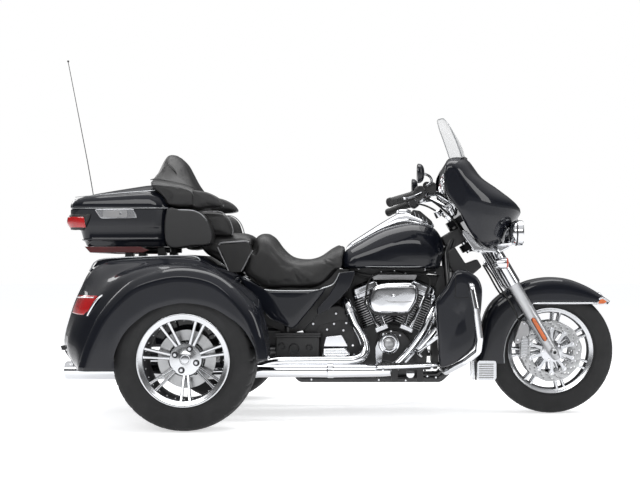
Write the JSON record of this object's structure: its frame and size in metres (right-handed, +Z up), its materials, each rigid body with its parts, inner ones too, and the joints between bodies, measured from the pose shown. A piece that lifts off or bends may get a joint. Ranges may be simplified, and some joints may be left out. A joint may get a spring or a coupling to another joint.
{
  "type": "motorized trike",
  "caption": "Touring motor trike with a steered front wheel, full fairing, air-cooled vee engine, two rear wheels under a trunk body, and a top box with a backrest.",
  "frame": {"origin": "on the ground, at the bottom centre of the bounding box", "axes": "+X forward, +Y to the vehicle's left, +Z up"},
  "size_m": [2.824, 1.39, 1.827],
  "materials": {
    "black_paint": "gloss",
    "tyre_rubber": "matt",
    "wheel_metal": "polished",
    "frame_black": "satin",
    "engine_silver": "satin",
    "cylinder_fins": "satin",
    "chrome": "polished",
    "black_trim": "matt",
    "seat_cover": "satin",
    "red_lens": "gloss",
    "clear_lens": "gloss",
    "screen_clear": "gloss",
    "grip_rubber": "matt"
  },
  "bodies": {
    "chassis": {"air_cleaner_cover": "chrome", "air_cleaner_ring": "black_trim", "antenna": "black_trim", "box_fittings": "chrome", "box_lamps": "red_lens", "bumper": "black_trim", "crankcase": "engine_silver", "cylinders": "cylinder_fins", "engine_covers": "chrome", "engine_guard": "chrome", "exhaust": "chrome", "fenders": "black_paint", "floorboards": "black_trim", "foot_controls": "chrome", "frame_cradle": "frame_black", "frame_head": "frame_black", "fuel_tank": "black_paint", "lower_fairings": "black_paint", "lumbar_pad": "seat_cover", "passenger_seat": "seat_cover", "pushrod_tubes": "chrome", "rear_axle": "frame_black", "rear_body": "black_paint", "rider_seat": "seat_cover", "rocker_covers": "chrome", "side_covers": "black_paint", "tail_lamps": "red_lens", "tank_console": "chrome", "top_box": "black_paint"},
    "steering": {"fork": "chrome", "front_fender": "black_paint", "brake_calipers": "frame_black", "fairing": "black_paint", "dash": "black_trim", "windshield": "screen_clear", "headlamp": "clear_lens", "passing_lamps": "clear_lens", "lamp_bar": "chrome", "handlebar": "chrome", "grips": "grip_rubber", "controls": "black_trim", "mirrors": "black_paint"},
    "front_wheel": {"front_tyre": "tyre_rubber", "front_rim": "wheel_metal"},
    "rear_wheel_right": {"rear_tyre_right": "tyre_rubber", "rear_rim_right": "wheel_metal"},
    "rear_wheel_left": {"rear_tyre_left": "tyre_rubber", "rear_rim_left": "wheel_metal"},
    "trunk_door": {"trunk_door": "black_paint"},
    "top_box_lid": {"top_box_lid": "black_paint", "backrest": "seat_cover", "armrests": "seat_cover"}
  },
  "joints": [
    {"name": "steer", "type": "hinge", "parent": "chassis", "child": "steering", "pos_m": [0.63962, 0, 0.905], "axis": [-0.5075, 0, 0.8616], "range_deg": [-30, 30]},
    {"name": "front_wheel_spin", "type": "hinge", "parent": "steering", "child": "front_wheel", "pos_m": [1.098, 0, 0.314], "axis": [0, 1, 0], "continuous": true},
    {"name": "rear_wheel_right_spin", "type": "hinge", "parent": "chassis", "child": "rear_wheel_right", "pos_m": [-0.623, -0.56, 0.318], "axis": [0, 1, 0], "continuous": true},
    {"name": "rear_wheel_left_spin", "type": "hinge", "parent": "chassis", "child": "rear_wheel_left", "pos_m": [-0.623, 0.56, 0.318], "axis": [0, 1, 0], "continuous": true},
    {"name": "trunk_door_hinge", "type": "hinge", "parent": "chassis", "child": "trunk_door", "pos_m": [-1.18917, 0, 0.475], "axis": [0, -1, 0], "range_deg": [0, 85]},
    {"name": "top_box_lid_hinge", "type": "hinge", "parent": "chassis", "child": "top_box_lid", "pos_m": [-1, 0.292, 1.0105], "axis": [-1, 0, 0], "range_deg": [0, 80]}
  ]
}
